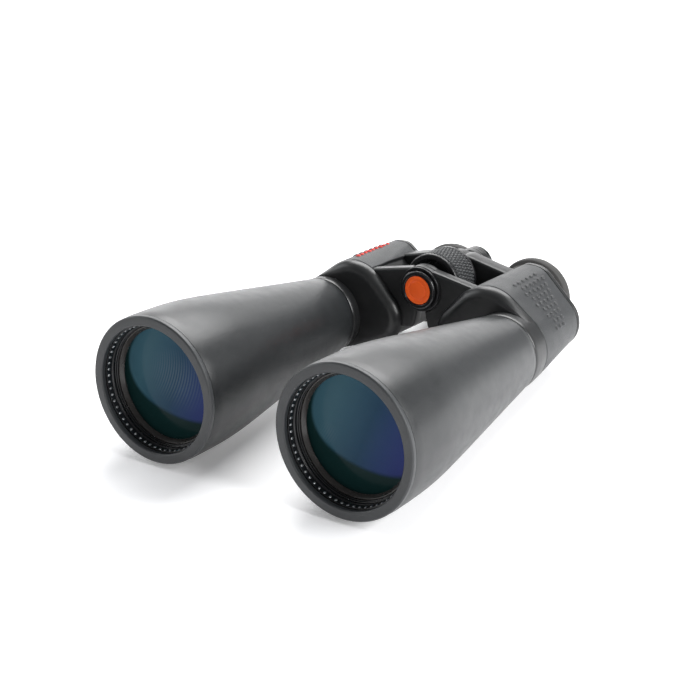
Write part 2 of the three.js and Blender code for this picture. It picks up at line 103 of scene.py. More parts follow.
# ---------- materials ----------
def finish(name, base, rough, metal=0.0, grain=(900.0, 0.08), blotch=0.05, rough_spread=0.04,
           edge=0.12, coat=0.0, specular=0.5, lines=None):
    """Procedural finish: blotchy base colour, worn edges, uneven roughness, grain bump."""
    mat = bpy.data.materials.new(name)
    mat.use_nodes = True
    nt = mat.node_tree
    nodes, link = nt.nodes, nt.links.new
    shader = nodes["Principled BSDF"]
    shader.inputs["Metallic"].default_value = metal
    shader.inputs["Coat Weight"].default_value = coat
    shader.inputs["Coat Roughness"].default_value = 0.2
    shader.inputs["Specular IOR Level"].default_value = specular
    coords = nodes.new("ShaderNodeTexCoord")

    def noise(scale, detail=3.0):
        n = nodes.new("ShaderNodeTexNoise")
        n.inputs["Scale"].default_value = scale
        n.inputs["Detail"].default_value = detail
        link(coords.outputs["Object"], n.inputs["Vector"])
        return n.outputs["Fac"]

    def ranged(value, low, high, start=0.3, end=0.7):
        m = nodes.new("ShaderNodeMapRange")
        m.inputs["From Min"].default_value = start
        m.inputs["From Max"].default_value = end
        m.inputs["To Min"].default_value = low
        m.inputs["To Max"].default_value = high
        link(value, m.inputs["Value"])
        return m.outputs["Result"]

    def mixed(factor, a, b):
        m = nodes.new("ShaderNodeMix")
        m.data_type = "RGBA"
        link(factor, m.inputs["Factor"])
        for socket, value in ((m.inputs["A"], a), (m.inputs["B"], b)):
            if isinstance(value, tuple):
                socket.default_value = value
            else:
                link(value, socket)
        return m.outputs["Result"]

    def shade(k):
        return tuple(c * k for c in base) + (1.0,)

    colour = mixed(ranged(noise(38.0), 0, 1), shade(1 - blotch), shade(1 + blotch))
    colour = mixed(ranged(noise(1400.0, 1.0), 0, 0.3), colour, shade(1.25))
    scuffs = ranged(noise(260.0, 6.0), 0, edge, 0.62, 0.74)
    colour = mixed(scuffs, colour, shade(2.2))
    worn = nodes.new("ShaderNodeNewGeometry").outputs["Pointiness"]
    colour = mixed(ranged(worn, 0, edge, 0.58, 0.70), colour, shade(1.7))
    link(colour, shader.inputs["Base Color"])
    uneven = ranged(noise(120.0, 4.0), rough - rough_spread, rough + rough_spread)
    link(uneven, shader.inputs["Roughness"])
    bump = nodes.new("ShaderNodeBump")
    bump.inputs["Strength"].default_value = grain[1]
    bump.inputs["Distance"].default_value = 0.0004
    height = noise(grain[0], 2.0)
    if lines:
        wave = nodes.new("ShaderNodeTexWave")
        wave.bands_direction = "Y"
        wave.inputs["Scale"].default_value = lines
        wave.inputs["Distortion"].default_value = 0.6
        link(coords.outputs["Object"], wave.inputs["Vector"])
        m = nodes.new("ShaderNodeMath")
        m.operation = "MULTIPLY_ADD"
        link(wave.outputs["Fac"], m.inputs[0])
        m.inputs[1].default_value = 0.6
        link(height, m.inputs[2])
        height = m.outputs["Value"]
    link(height, bump.inputs["Height"])
    link(bump.outputs["Normal"], shader.inputs["Normal"])
    return mat


PAINT = finish("satin_paint", (0.0125, 0.0138, 0.0148), 0.37, grain=(1500.0, 0.10), edge=0.15)
SHOULDER = finish("smooth_paint", (0.012, 0.0125, 0.013), 0.34, grain=(1100.0, 0.05), edge=0.15)
RUBBER = finish("armour_rubber", (0.021, 0.0225, 0.024), 0.50, grain=(2200.0, 0.30), specular=0.45)
SOFT = finish("soft_rubber", (0.030, 0.029, 0.028), 0.65, grain=(2600.0, 0.30), edge=0.05, specular=0.4)
BLACK = finish("black_metal", (0.007, 0.007, 0.008), 0.30, grain=(1800.0, 0.06), edge=0.15, lines=260.0)
BEZEL = finish("bezel_metal", (0.027, 0.029, 0.031), 0.42, grain=(2000.0, 0.08), edge=0.15)
STEEL = finish("bright_steel", (0.55, 0.56, 0.57), 0.26, 1.0, grain=(1600.0, 0.05), edge=0.02, lines=300.0)
BRASS = finish("turned_brass", (0.62, 0.46, 0.20), 0.30, 1.0, grain=(1600.0, 0.05), edge=0.02, lines=300.0)
PLASTIC = finish("gloss_plastic", (0.010, 0.010, 0.011), 0.20, grain=(1300.0, 0.06), edge=0.15, coat=0.3)
ORANGE = finish("orange_disc", (1.0, 0.12, 0.008), 0.40, grain=(1500.0, 0.10), blotch=0.05, edge=0.0)
LIP = finish("glass_retainer", (0.030, 0.027, 0.025), 0.25, grain=(1600.0, 0.05), edge=0.05)
# Painted glint: light metal for the beads, standing in for the highlights that the black knurl catches.
GLINT_BEAD = finish("milled_beads_painted_glint", (0.34, 0.35, 0.36), 0.28, 0.7, grain=(1600.0, 0.05), edge=0.05)
RED = finish("red_rubber", (0.55, 0.03, 0.022), 0.55, grain=(2200.0, 0.20), edge=0.02)


def glass(name, tint):
    """Clear optical glass: faint tint streaks and dust in the roughness."""
    mat = finish(name, tint, 0.04, grain=(60.0, 0.01), blotch=0.03, rough_spread=0.015, edge=0.0)
    shader = mat.node_tree.nodes["Principled BSDF"]
    shader.inputs["Transmission Weight"].default_value = 1.0
    shader.inputs["IOR"].default_value = 1.52
    return mat


def painted_reflex_lens(name, stops, sweep, crescent, ring_place, ring_reach):
    """Coated lens face with its reflection painted into the colour: the painted reflex drifts in hue
    across the glass, a painted shade crescent darkens one edge, and a fine figure of rings is painted in."""
    mat = finish(name, (0.02, 0.04, 0.07), 0.10, grain=(40.0, 0.01), rough_spread=0.02, edge=0.0,
                 specular=0.05)
    nt = mat.node_tree
    nodes, link = nt.nodes, nt.links.new
    generated = nodes.new("ShaderNodeTexCoord").outputs["Generated"]

    def vector(operation, value):
        v = nodes.new("ShaderNodeVectorMath")
        v.operation = operation
        link(generated, v.inputs[0])
        v.inputs[1].default_value = value
        return v.outputs["Value"]

    def remap(value, start, end, low, high):
        m = nodes.new("ShaderNodeMapRange")
        m.interpolation_type = "SMOOTHSTEP"
        for key, number in (("From Min", start), ("From Max", end), ("To Min", low), ("To Max", high)):
            m.inputs[key].default_value = number
        link(value, m.inputs["Value"])
        return m.outputs["Result"]

    def product(a, b):
        m = nodes.new("ShaderNodeMath")
        m.operation = "MULTIPLY"
        link(a, m.inputs[0])
        link(b, m.inputs[1])
        return m.outputs["Value"]

    def blend(factor, a, b):
        m = nodes.new("ShaderNodeMix")
        m.data_type = "RGBA"
        link(factor, m.inputs["Factor"])
        link(a, m.inputs["A"])
        m.inputs["B"].default_value = b
        return m.outputs["Result"]

    # Hue ramp of the painted reflex, swept across the glass.
    ramp = nodes.new("ShaderNodeValToRGB")
    for k, (place, colour) in enumerate(stops):
        stop = ramp.color_ramp.elements[k] if k < 2 else ramp.color_ramp.elements.new(place)
        stop.position = place
        stop.color = colour + (1.0,)
    link(vector("DOT_PRODUCT", sweep), ramp.inputs["Fac"])
    # Painted reflection: a fine figure of lighter rings over the reflex, around ring_place.
    rings = nodes.new("ShaderNodeTexWave")
    rings.wave_type = "RINGS"
    rings.rings_direction = "SPHERICAL"
    rings.inputs["Scale"].default_value = 15.0
    shifted = nodes.new("ShaderNodeMapping")
    shifted.inputs["Location"].default_value = (0.0, -0.5, -0.5)
    link(generated, shifted.inputs["Vector"])
    link(shifted.outputs["Vector"], rings.inputs["Vector"])
    patch = remap(vector("DISTANCE", ring_place), 0.06, ring_reach, 0.75, 0.0)
    faint = product(rings.outputs["Fac"], patch)
    colour = blend(faint, ramp.outputs["Color"], (0.075, 0.105, 0.13, 1.0))
    # Painted shade: a dark crescent at one edge of the glass, where the rim shades it.
    shade = remap(vector("DISTANCE", crescent), 0.52, 0.55, 0.0, 1.0)
    colour = blend(shade, colour, (0.004, 0.014, 0.014, 1.0))
    shader = nodes["Principled BSDF"]
    # The painted reflex is the lens's base colour and is also emitted, so the glass glows though it is no lamp.
    link(colour, shader.inputs["Base Color"])
    link(colour, shader.inputs["Emission Color"])
    shader.inputs["Emission Strength"].default_value = 0.4
    return mat


CLEAR = glass("clear_glass", (0.86, 0.92, 0.90))
# Hue stops of the objectives' painted reflex.
HUES = ((0.0, (0.026, 0.064, 0.085)), (1.0, (0.040, 0.018, 0.105)),
        (0.30, (0.012, 0.034, 0.062)), (0.62, (0.018, 0.026, 0.105)))
# Direction of the painted reflex's hue sweep, and centre of the painted shade crescent.
REFLEX_SWEEP, SHADE_CRESCENT = (0.85, 0.0, -0.35), (0.56, 0.5, 0.47)
LENS = painted_reflex_lens("coated_lens_painted_reflex", HUES, REFLEX_SWEEP, SHADE_CRESCENT, (0.14, 0.0, 0.52), 0.24)
FAR_LENS = painted_reflex_lens("coated_far_lens_painted_reflex", HUES, REFLEX_SWEEP, SHADE_CRESCENT, (0.62, 0.0, 0.72), 0.46)
# Hue stops of the eye lens's painted reflex.
EYE_HUES = ((0.0, (0.05, 0.02, 0.07)), (1.0, (0.02, 0.06, 0.05)),
            (0.5, (0.03, 0.04, 0.08)), (0.8, (0.02, 0.05, 0.07)))
EYE_LENS = painted_reflex_lens("coated_eye_lens_painted_reflex", EYE_HUES, (0.6, 0.0, 0.4), (0.5, 0.5, 0.5), (0.3, 0.0, 0.6), 0.2)


# ---------- mesh helpers ----------
class Shape:
    """Vertices and faces gathered in the optical frame, in millimetres."""

    def __init__(self):
        self.verts, self.faces, self.mats = [], [], []

    def add(self, verts, faces, mat=0):
        base = len(self.verts)
        self.verts += verts
        self.faces += [tuple(i + base for i in f) for f in faces]
        self.mats += [mat] * len(faces)
        return self

    def lathe(self, profile, x=0.0, z=0.0, seg=144, closed=True, mat=0, warp=None):
        """Turned about y through x, z; warp(turn, y) adds to the radius."""
        verts, faces, rings = [], [], []
        for r, y in profile:
            if r <= 1e-6:
                rings.append([len(verts)])
                verts.append((x, y, z))
                continue
            start = len(verts)
            for k in range(seg):
                a = 2 * math.pi * k / seg
                rr = r + (warp(k / seg, y) if warp else 0.0)
                verts.append((x + rr * math.sin(a), y, z + rr * math.cos(a)))
            rings.append(list(range(start, start + seg)))
        pairs = list(zip(rings, rings[1:]))
        if closed:
            pairs.append((rings[-1], rings[0]))
        for a, b in pairs:
            if len(a) == 1 and len(b) == 1:
                continue
            for k in range(seg):
                n = (k + 1) % seg
                if len(a) == 1:
                    faces.append((a[0], b[n], b[k]))
                elif len(b) == 1:
                    faces.append((a[k], a[n], b[0]))
                else:
                    faces.append((a[k], a[n], b[n], b[k]))
        return self.add(verts, faces, mat)

    def loft(self, rings, mat=0):
        """Closed skin over rings of equal length, each a list of points; both ends are capped."""
        n = len(rings[0])
        verts = [p for ring in rings for p in ring]
        faces = []
        for k in range(len(rings) - 1):
            for i in range(n):
                j = (i + 1) % n
                faces.append((k * n + i, k * n + j, (k + 1) * n + j, (k + 1) * n + i))
        faces.append(tuple(range(n - 1, -1, -1)))
        faces.append(tuple(range((len(rings) - 1) * n, len(rings) * n)))
        return self.add(verts, faces, mat)


def eased(points, radius, closed=True, steps=4):
    """Profile with its corners rounded off."""
    out, n = [], len(points)
    for k, p in enumerate(points):
        if not closed and k in (0, n - 1):
            out.append(p)
            continue
        a, b = Vector(points[k - 1]), Vector(points[(k + 1) % n])
        c = Vector(p)
        cut_a = min(radius, (a - c).length * 0.45)
        cut_b = min(radius, (b - c).length * 0.45)
        start = c + (a - c).normalized() * cut_a
        end = c + (b - c).normalized() * cut_b
        for s in range(steps + 1):
            t = s / steps
            q = start * (1 - t) ** 2 + c * 2 * t * (1 - t) + end * t * t
            out.append((q.x, q.y))
    return out


def outline(circles, grow=0.0, n=180):
    """Tight band round circles (x, z, r), one point to each direction."""
    points = []
    for k in range(n):
        a = 2 * math.pi * k / n
        nx, nz = math.cos(a), math.sin(a)
        x, z, r = max(circles, key=lambda c: c[0] * nx + c[1] * nz + c[2])
        points.append((x + (r + grow) * nx, z + (r + grow) * nz))
    return points


def section(y):
    t = min(1.0, max(0.0, (y - ARMOUR_Y) / (COVER_Y - ARMOUR_Y)))
    return [tuple(f + (b - f) * t for f, b in zip(front, rear)) for front, rear in SECTION]


def at_y(points, y, sx=1):
    return [(p[0] * sx, y, p[1]) for p in points]


def make(name, shape, materials, body, hides=(), smooth=38.0, tidy=True):
    """Mesh object in the row frame, smooth apart from its sharp edges, riding on a body."""
    mesh = bpy.data.meshes.new(name)
    mesh.from_pydata([row(*v) for v in shape.verts], [], shape.faces)
    mesh.update()
    for mat in materials:
        mesh.materials.append(mat)
    mesh.polygons.foreach_set("material_index", shape.mats)
    if tidy:
        bm = bmesh.new()
        bm.from_mesh(mesh)
        bmesh.ops.remove_doubles(bm, verts=bm.verts, dist=1e-7)
        bmesh.ops.recalc_face_normals(bm, faces=bm.faces)
        bm.to_mesh(mesh)
        bm.free()
    obj = bpy.data.objects.new(name, mesh)
    bpy.context.scene.collection.objects.link(obj)
    soften(obj, smooth)
    if body:
        adopt(obj, body, hides)
    return obj


def soften(obj, degrees):
    obj.data.shade_smooth()
    obj.data.set_sharp_from_angle(angle=math.radians(degrees))


def adopt(obj, body, hides=()):
    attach(obj, body)
    if hides:
        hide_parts(*hides)


def bake(obj, smooth=38.0):
    """Replace the mesh by what its modifiers make of it."""
    bpy.context.view_layer.update()
    evaluated = obj.evaluated_get(bpy.context.evaluated_depsgraph_get())
    mesh = bpy.data.meshes.new_from_object(evaluated)
    obj.modifiers.clear()
    obj.data = mesh
    soften(obj, smooth)


def combine(obj, other, operation):
    """Boolean with a helper object, which is then removed."""
    for mesh in (obj.data, other.data):  # worked in millimetres, then brought back to metres
        mesh.transform(Matrix.Scale(1 / MM, 4))
    m = obj.modifiers.new("cut", "BOOLEAN")
    m.operation = operation
    m.solver = "MANIFOLD"
    m.object = other
    bake(obj)
    obj.data.transform(Matrix.Scale(MM, 4))
    bpy.data.objects.remove(other)


def helper(shape):
    return make("helper", shape, [], None)


def drill(obj, x, z, r, y0, y1, seg=96):
    """Round hole along y."""
    tool = [(0.0, y0), (r, y0), (r, y1), (0.0, y1)]
    combine(obj, helper(Shape().lathe(tool, x, z, seg, closed=False)), "DIFFERENCE")


def pip(shape, place, normal, along, half_x, half_y, height, mat=0, seg=14):
    """Low dome or rounded bar standing on a surface."""
    across = normal.cross(along).normalized()
    verts, faces = [], []
    for f, h in ((1.0, -0.4), (0.92, 0.25), (0.72, 0.65), (0.4, 0.92)):
        for i in range(seg):
            a = 2 * math.pi * i / seg
            ca, sa = math.cos(a), math.sin(a)
            p = place + along * (half_y * f * ca) + across * (half_x * f * sa) + normal * (height * h)
            verts.append(tuple(p))
    verts.append(tuple(place + normal * height))
    for k in range(3):
        for i in range(seg):
            j = (i + 1) % seg
            faces.append((k * seg + i, k * seg + j, (k + 1) * seg + j, (k + 1) * seg + i))
    for i in range(seg):
        faces.append((3 * seg + i, 3 * seg + (i + 1) % seg, 4 * seg))
    faces.append(tuple(range(seg - 1, -1, -1)))
    shape.add(verts, faces, mat)


# ---------- barrels and objectives ----------
def barrel_radius(y):
    taper, bend, softness = 0.153, 37.6, 9.0
    return 44.3 - taper * softness * math.log(1 + math.exp((y - bend) / softness))


def barrels(side, sx):
    body, x = f"{side}_half", OBJ_X * sx
    mouth = 3.5
    stations = [mouth + (BARREL_END - 0.8 - mouth) * k / 48 for k in range(49)]
    outer = [(barrel_radius(y), y) for y in stations]
    end = outer[-1][0]
    profile = [(40.2, mouth), (outer[0][0] - 0.5, mouth), *outer[1:], (end - 0.35, BARREL_END - 0.45)]
    profile += [(22.0, BARREL_END - 0.45), (22.0, BARREL_END - 3.0), (barrel_radius(64) - 3, 64)]
    profile += [(38.4, 36), (40.2, 33)]
    make(f"{side}_barrel_tube", Shape().lathe(profile, x, 0, 176), [PAINT], body,
         [f"{side}_barrel"])

    rim = eased([(38, 3.1), (38, 0.6), (38.6, 0.0), (43.2, 0.0), (43.95, 0.75), (43.95, 3.1)], 0.18)
    make(f"{side}_rim", Shape().lathe(rim, x, 0, 176), [BEZEL], body,
         [f"{side}_objective_bezel"])

    face = eased([(39.85, 3.5), (39.85, 9.1), (36.5, 9.1), (36.6, 8.2), (37.2, 7.4), (37.4, 3.5)], 0.15)
    ring = Shape().lathe(face, x, 0, 144)
    # The beads' light metal colour is a painted glint on the black knurl.
    beads = 60  # milled round the inside of the retaining ring
    for k in range(beads):
        a = 2 * math.pi * k / beads
        inward = Vector((-math.sin(a), 0.0, -math.cos(a)))
        place = Vector((x, 5.3, 0.0)) - inward * 37.3
        pip(ring, place, inward, Vector((0, 1, 0)), 0.85, 1.1, 0.5, 1)
    make(f"{side}_retaining_ring", ring, [BLACK, GLINT_BEAD], body,
         [f"{side}_objective_lock_ring"])

    steps = [(39.85, 9.4), (39.85, 31.4), (36.7, 31.4), (36.7, 14.6)]
    for k in range(4):  # stepped baffle in front of the glass
        y = 14.4 - k * 1.25
        steps += [(35.1 + 0.35 * k, y), (35.1 + 0.35 * k, y - 0.8), (35.45 + 0.35 * k, y - 1.0)]
    cell = Shape().lathe(eased(steps, 0.12, steps=2), x, 0, 144)
    lip = [(35.0, 14.5), (33.3, 14.5), (33.3, 13.9), (34.9, 11.6), (35.6, 11.6), (35.6, 14.5)]
    cell.lathe(eased(lip, 0.15), x, 0, 144, mat=1)
    make(f"{side}_lens_cell", cell, [BLACK, LIP], body, [f"{side}_objective_cell"])

    lens_r = 36.2

    def bulge(r, sag):
        return sag * (1 - (r / lens_r) ** 2)

    zones = [lens_r * k / 14 for k in range(15)]
    crown = [(r, 16.9 - bulge(r, 2.0)) for r in zones]
    crown += [(r, 20.4 + bulge(r, 2.6)) for r in reversed(zones)]
    make(f"{side}_front_lens", Shape().lathe(crown, x, 0, 128, closed=False),
         [LENS if sx > 0 else FAR_LENS], body, [f"{side}_crown_lens"])


# ---------- prism housings ----------
def smooth_front(y, sx):
    """Outline of the rounded shoulder ahead of the armour, with the barrel collar inside it."""
    radius = ARMOUR_Y - SHOULDER_Y
    turn = math.acos(max(-1.0, min(1.0, 1 - (y - SHOULDER_Y) / radius)))
    grow = radius * (math.sin(turn) - 1)
    collar = 24.5 - 0.5 * max(0.0, y - SHOULDER_Y) / radius
    circles = [(OBJ_X, 0.6 * max(0.0, y - SHOULDER_Y) / radius, collar)]
    if y >= SHOULDER_Y:
        circles += [(cx, cz, r + grow) for cx, cz, r in section(y)[1:]]
    return at_y(outline(circles), y, sx)


def arm_plate(circles, y0, y1, sx, ease=1.5):
    """Plate between two y planes whose edges are rounded over."""
    rings = []
    for k in range(6):
        a = math.radians(18 * k)
        edge = outline(circles, ease * (math.sin(a) - 1), 120)
        rings.append(at_y(edge, y0 + ease * (1 - math.cos(a)), sx))
    rings += [[(x, y0 + y1 - y, z) for x, y, z in ring] for ring in reversed(rings)]
    return Shape().loft(rings)


def hinge_arm(name, circles, lug_r, bore_r, span, sx, front, room=0.4):
    """One arm with its half of the knuckle; the other half's room is cut away.

    The lug stands a little proud of the plate and past its middle, so that no two faces of
    the union lie in one plane; the cut then brings it back to its own half."""
    y0, y1 = span
    middle = (y0 + y1) / 2
    proud, past = 0.05, 0.5
    own = (y0 - proud, middle + past) if front else (middle - past, y1 + proud)
    other = (middle - GAP / 2, y1 + 2) if front else (y0 - 2, middle + GAP / 2)
    arm = make(name, arm_plate(circles, y0, y1, sx), [SHOULDER], None)
    lug = eased([(0.0, own[0]), (lug_r, own[0]), (lug_r, own[1]), (0.0, own[1])], 0.8, closed=False)
    combine(arm, helper(Shape().lathe(lug, 0, HINGE_Z, 96, closed=False)), "UNION")
    drill(arm, 0, HINGE_Z, lug_r + room, *other)
    drill(arm, 0, HINGE_Z, bore_r, y0 - 3, y1 + 3)
    return arm


FRONT_ARM = ((7.5, 30.0, 8.6), (9.5, 4.0, 5.0), (24.0, 3.0, 6.0), (38.0, 24.0, 8.6))
REAR_ARM = ((8.5, 29.8, 9.8), (9.5, 9.5, 5.0), (24.0, 8.0, 6.0), (37.0, 23.8, 9.2))


def housings(side, sx):
    body = f"{side}_half"
    rings = []
    collar = ((BARREL_END + 0.3, 23.9), (BARREL_END + 0.4, 24.45), (BARREL_END + 0.8, 24.7),
              (168.0, 24.7), (170.5, 24.6), (SHOULDER_Y - 0.1, 24.5))
    for y, r in collar:
        rings.append(at_y(outline([(OBJ_X, 0.0, r)]), y, sx))
    steps = 14
    for k in range(steps + 1):
        y = SHOULDER_Y + (ARMOUR_Y - SHOULDER_Y) * (1 - math.cos(math.pi / 2 * k / steps))
        rings.append(smooth_front(y, sx))
    rings.append(at_y(outline(section(ARMOUR_Y), -0.5), ARMOUR_Y + 0.1, sx))
    rings.append(at_y(outline(section(ARMOUR_Y), -SHELL_INSET), ARMOUR_Y + 0.2, sx))
    for k in range(1, 13):
        y = ARMOUR_Y + (COVER_Y - 0.4 - ARMOUR_Y) * k / 12
        rings.append(at_y(outline(section(y), -SHELL_INSET), y, sx))
    shell = make(f"{side}_housing_shell", Shape().loft(rings), [SHOULDER], None)
    drill(shell, EYE_X * sx, EYE_Z, TUBE_ROOM, 212.0, COVER_END + 1)
    adopt(shell, body, [f"{side}_prism_housing"])
    arms = (("front", FRONT_ARM, FRONT_LUG, FRONT_WEB), ("rear", REAR_ARM, REAR_LUG, REAR_WEB))
    for label, circles, lug, span in arms:
        arm = hinge_arm(f"{side}_{label}_hinge_arm", circles, lug, AXLE_BORE, span, sx, sx < 0)
        if label == "rear":
            drill(arm, EYE_X * sx, EYE_Z, TUBE_ROOM, REAR_WEB[0] - 2, COVER_END + 1)
        adopt(arm, body)


def half_outline(y, grow=0.0, count=150):
    """Outline from the armour's top inboard edge, round the outer side, to its lower one."""
    ring = outline(section(y), grow, 720)[::-1]
    kept = []
    for (ax, az), (bx, bz) in zip(ring, ring[1:] + ring[:1]):
        if (ax > ARMOUR_X) != (bx > ARMOUR_X):
            t = (ARMOUR_X - ax) / (bx - ax)
            kept.append((ARMOUR_X, az + (bz - az) * t))
        if bx > ARMOUR_X:
            kept.append((bx, bz))
    top = max((k for k in range(len(kept)) if kept[k][0] == ARMOUR_X), key=lambda k: kept[k][1])
    kept = kept[top:] + kept[:top]
    lengths = [0.0]
    for a, b in zip(kept, kept[1:]):
        lengths.append(lengths[-1] + math.dist(a, b))
    out, k = [], 0
    for i in range(count):
        want = lengths[-1] * i / (count - 1)
        while k < len(lengths) - 2 and lengths[k + 1] < want:
            k += 1
        span = lengths[k + 1] - lengths[k]
        t = (want - lengths[k]) / span if span > 1e-9 else 0.0
        (ax, az), (bx, bz) = kept[k], kept[k + 1]
        out.append((ax + (bx - ax) * t, az + (bz - az) * t))
    return out, lengths[-1]


def surface(y, distance, sx):
    """Point, outward normal and lengthwise direction on the armour, distance down from its top edge."""
    last = 399

    def point(yy, d):
        ring, total = half_outline(yy, 0.0, last + 1)
        x, z = ring[max(0, min(last, round(d / total * last)))]
        return Vector((x * sx, yy, z))

    p = point(y, distance)
    along = (point(y + 0.5, distance) - point(y - 0.5, distance)).normalized()
    down = (point(y, distance + 0.8) - point(y, distance - 0.8)).normalized()
    normal = along.cross(down) * sx
    centre = Vector((52 * sx, y, 10))
    if normal.dot(p - centre) < 0:
        normal = -normal
    return p, normal.normalized(), along


def armours(side, sx):
    body = f"{side}_half"
    shape = Shape()
    stations, count = 28, 150
    y0, y1 = ARMOUR_Y + 0.9, COVER_Y - 0.8
    verts, faces = [], []
    for k in range(stations + 1):
        y = y0 + (y1 - y0) * k / stations
        ring, _ = half_outline(y, 0.0, count)
        verts += at_y(ring, y, sx)
    for k in range(stations):
        for i in range(count - 1):
            a = k * count + i
            quad = (a, a + 1, a + 1 + count, a + count)
            faces.append(quad if sx > 0 else quad[::-1])
    shape.add(verts, faces)
    skin = make(f"{side}_armour_skin", shape, [RUBBER, RED], None, tidy=False)
    middle = skin.data.polygons[len(skin.data.polygons) // 2]
    if middle.normal.dot(middle.center - row(52 * sx, 205, 10)) < 0:
        skin.data.flip_normals()
    thick = skin.modifiers.new("thick", "SOLIDIFY")
    thick.thickness = ARMOUR_T * MM
    thick.offset = -1
    thick.use_even_offset = True
    ease = skin.modifiers.new("ease", "BEVEL")
    ease.width = 0.6 * MM
    ease.segments = 3
    ease.limit_method = "ANGLE"
    ease.angle_limit = math.radians(50)
    bake(skin, 50)
    pips = Shape()
    for r in range(9):  # staggered rows that shorten downwards
        for c in range(6 - int(r / 2.2)):
            place, normal, along = surface(193.5 + 0.9 * r + 5.4 * c + 2.7 * (r % 2), 22.5 + 4.5 * r, sx)
            pip(pips, place, normal, along, 1.5, 1.75, 0.85)
    if side == "right":
        for k in range(9):  # one red row above them
            place, normal, along = surface(189.0 + 4.1 * k, 17.5, sx)
            pip(pips, place, normal, along, 1.5 if k % 3 else 2.1, 1.25, 1.0, 1)
    dots = make(f"{side}_armour_pips", pips, [RUBBER, RED], None, 80)
    adopt(skin, body, [f"{side}_armour"])
    adopt(dots, body)


def covers(side, sx):
    body = f"{side}_half"
    rings = []
    front_edge = ((COVER_Y + 0.1, -1.6), (COVER_Y + 0.1, -0.7), (COVER_Y + 0.3, -0.25), (COVER_Y + 0.8, 0.0),
                  (COVER_END - 1.6, 0.0))
    for y, grow in front_edge:
        rings.append(at_y(outline(section(y), grow), y, sx))
    round_r = 1.5
    for k in range(1, 7):
        a = math.radians(15 * k)
        edge = outline(section(COVER_Y), round_r * (math.cos(a) - 1))
        rings.append(at_y(edge, COVER_END - round_r + round_r * math.sin(a), sx))
    cover = make(f"{side}_cover_plate", Shape().loft(rings), [SHOULDER], None)
    holes = [(EYE_X, EYE_Z, TUBE_BORE), (52.0, 30.0, 1.5), (62.0, -6.0, 1.5)]
    for x, z, r in holes:
        drill(cover, x * sx, z, r, COVER_Y - 3, COVER_END + 3, 64)
    adopt(cover, body, [f"{side}_rear_cover"])
    seat = COVER_END + GAP
    for (x, z, _), label in zip(holes[1:], ("upper", "lower")):
        head = [(0.0, COVER_Y + 0.1), (1.1, COVER_Y + 0.1), (1.1, seat), (2.6, seat), (2.6, seat + 0.7)]
        head += [(1.7, seat + 1.45), (1.15, seat + 1.45), (0.0, seat + 1.45)]
        turned = Shape().lathe(eased(head, 0.18, False, 3), x * sx, z, 40, False)
        screw = make(f"{side}_cover_screw_{label}_head", turned, [STEEL], None)
        for turn in (0.4, 0.4 + math.pi / 2):
            c, s = math.cos(turn), math.sin(turn)
            box = [(x * sx + c * u - s * v, y, z + s * u + c * v) for y in (seat + 0.75, seat + 2.5)
                   for u, v in ((-1.3, -0.28), (1.3, -0.28), (1.3, 0.28), (-1.3, 0.28))]
            walls = [(0, 1, 2, 3), (7, 6, 5, 4), (0, 4, 5, 1), (1, 5, 6, 2), (2, 6, 7, 3), (3, 7, 4, 0)]
            combine(screw, helper(Shape().add(box, walls)), "DIFFERENCE")
        adopt(screw, body, [f"{side}_cover_screw_{label}"])
    flange = [(TUBE_BORE, seat), (18.4, seat), (18.4, seat + 1.0), (17.4, seat + 1.75)]
    flange += [(TUBE_BORE, seat + 1.75)]
    make(f"{side}_tube_flange", Shape().lathe(eased(flange, 0.3), EYE_X * sx, EYE_Z, 96), [BLACK], body,
         [f"{side}_tube_bushing"])


# ---------- eyepieces ----------
def ribbed(count, depth, y0, y1):
    """Warp for a lathe: rounded ribs along the axis between two y planes."""
    def warp(turn, y):
        if not y0 < y < y1:
            return 0.0
        return -depth * (0.5 - 0.5 * math.cos(2 * math.pi * turn * count)) ** 2
    return warp


ARM_CIRCLES = ((9.0, 21.0, 5.0), (22.0, 10.0, 9.0), (EYE_X, EYE_Z, 19.5))


